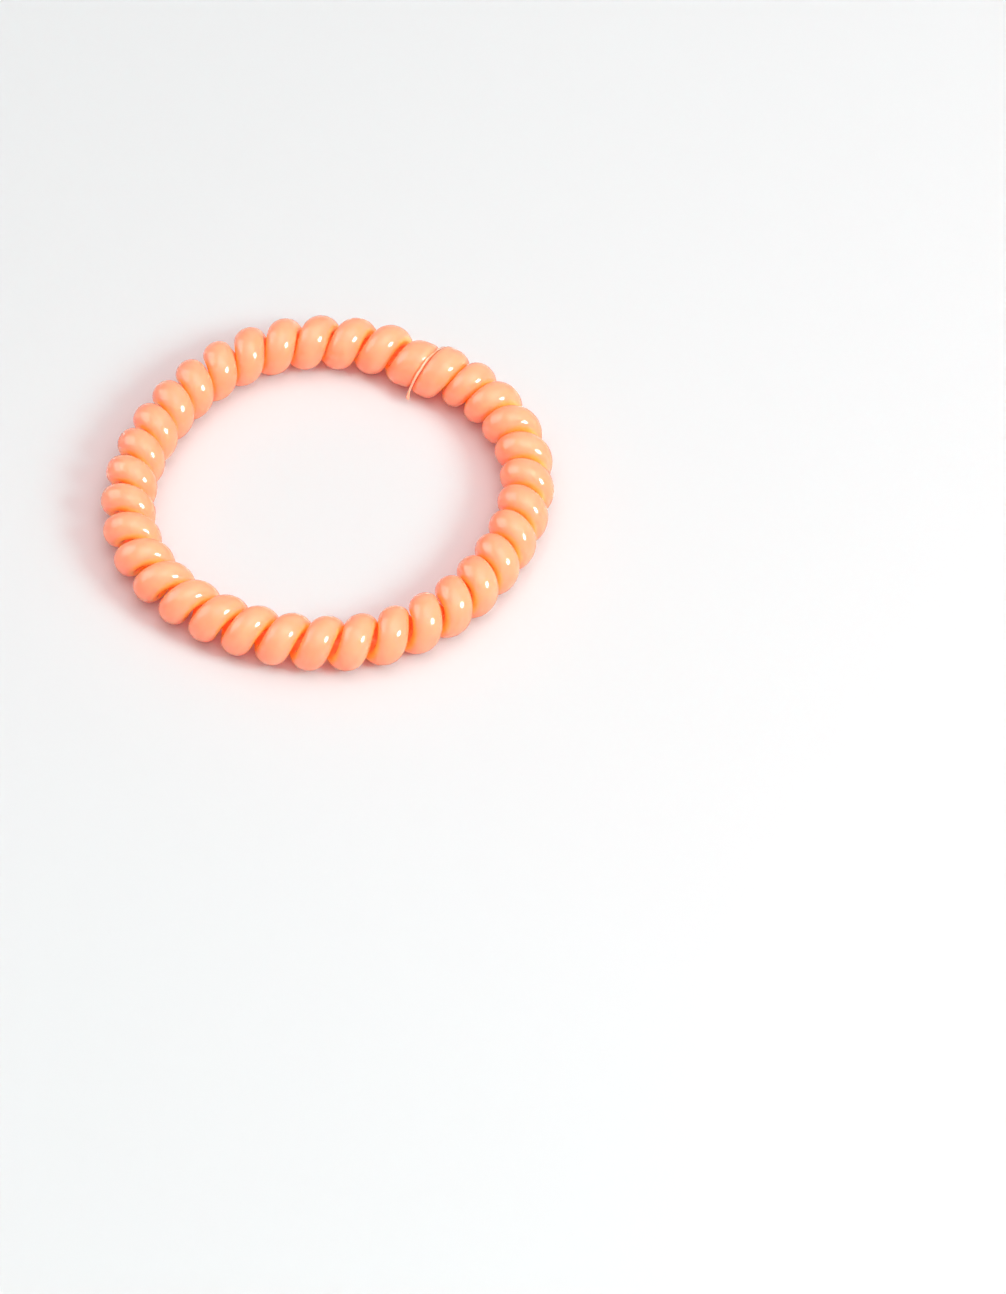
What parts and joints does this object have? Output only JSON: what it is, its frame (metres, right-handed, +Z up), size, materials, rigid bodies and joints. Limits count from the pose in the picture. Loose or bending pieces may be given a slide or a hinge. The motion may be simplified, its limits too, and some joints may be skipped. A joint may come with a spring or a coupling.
{
  "type": "spiral hair tie",
  "caption": "Glossy plastic spiral hair tie: a thick strand wound into a tight coil and closed into a ring by a welded joint.",
  "frame": {"origin": "bottom centre of the tie's box, on the surface it lies on", "axes": "+Z up, along the ring's axis and out of the surface; +X to the right and +Y away from the viewer, with the joint 60 degrees from +X towards +Y"},
  "size_m": [0.0574, 0.0566, 0.0071],
  "materials": {
    "strand": "glossy moulded peach plastic, slightly translucent",
    "film": "thin pale translucent plastic"
  },
  "bodies": {
    "root": {"coil_strand": "strand", "joint_film": "film"}
  },
  "joints": []
}
